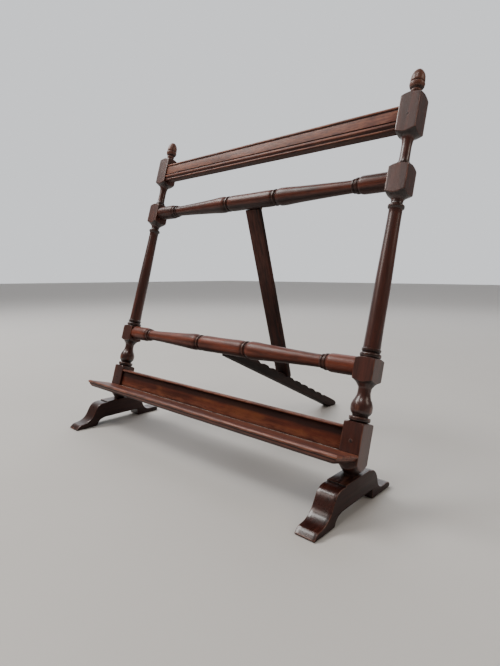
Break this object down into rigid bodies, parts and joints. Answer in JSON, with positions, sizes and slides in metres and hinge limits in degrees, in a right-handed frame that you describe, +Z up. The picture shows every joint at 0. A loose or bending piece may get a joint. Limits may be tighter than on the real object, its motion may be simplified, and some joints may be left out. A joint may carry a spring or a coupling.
{
  "type": "bible stand",
  "caption": "Table-top bible stand: turned posts on scrolled feet, moulded rail, turned stretchers and a book ledge, held up by a hinged strut in a notched hinged rack.",
  "frame": {"origin": "on the table top, under the middle of the stand's bounding box", "axes": "+X along the book ledge to the reader's right, +Y away from the reader, +Z up"},
  "size_m": [0.4864, 0.419, 0.4937],
  "materials": {
    "mahogany_turned": "dark polished mahogany",
    "mahogany_foot": "dark polished mahogany, worn at the edges",
    "mahogany_moulded": "polished red mahogany",
    "mahogany_stretcher": "polished red mahogany",
    "mahogany_strut": "dark waxed mahogany, less polished",
    "peg_wood": "dark end grain",
    "old_brass": "dull tarnished brass"
  },
  "bodies": {
    "stand_frame": {"left_post": "mahogany_turned", "left_finial": "mahogany_turned", "left_foot": "mahogany_foot", "left_base_peg": "peg_wood", "left_top_peg": "peg_wood", "right_post": "mahogany_turned", "right_finial": "mahogany_turned", "right_foot": "mahogany_foot", "right_base_peg": "peg_wood", "right_top_peg": "peg_wood", "top_rail": "mahogany_moulded", "book_board": "mahogany_moulded", "book_ledge": "mahogany_moulded", "upper_stretcher": "mahogany_stretcher", "lower_stretcher": "mahogany_stretcher", "prop_hinge_fixed_leaf": "old_brass", "prop_hinge_pin": "old_brass", "rack_hinge_fixed_leaf": "old_brass", "rack_hinge_pin": "old_brass"},
    "rack": {"ratchet_rack": "mahogany_strut", "rack_hinge_free_leaf": "old_brass"},
    "strut": {"prop_strut": "mahogany_strut", "prop_hinge_free_leaf": "old_brass"}
  },
  "joints": [
    {"name": "rack_fold", "type": "hinge", "parent": "stand_frame", "child": "rack", "pos_m": [0, -0.07686, 0.14888], "axis": [1, 0, 0], "range_deg": [0, 80]},
    {"name": "strut_swing", "type": "hinge", "parent": "stand_frame", "child": "strut", "pos_m": [0, -0.02001, 0.35054], "axis": [1, 0, 0], "range_deg": [0, 128]}
  ],
  "couplings": [
    {"joint": "strut_swing", "follows": "rack_fold", "ratio": 1.6}
  ]
}
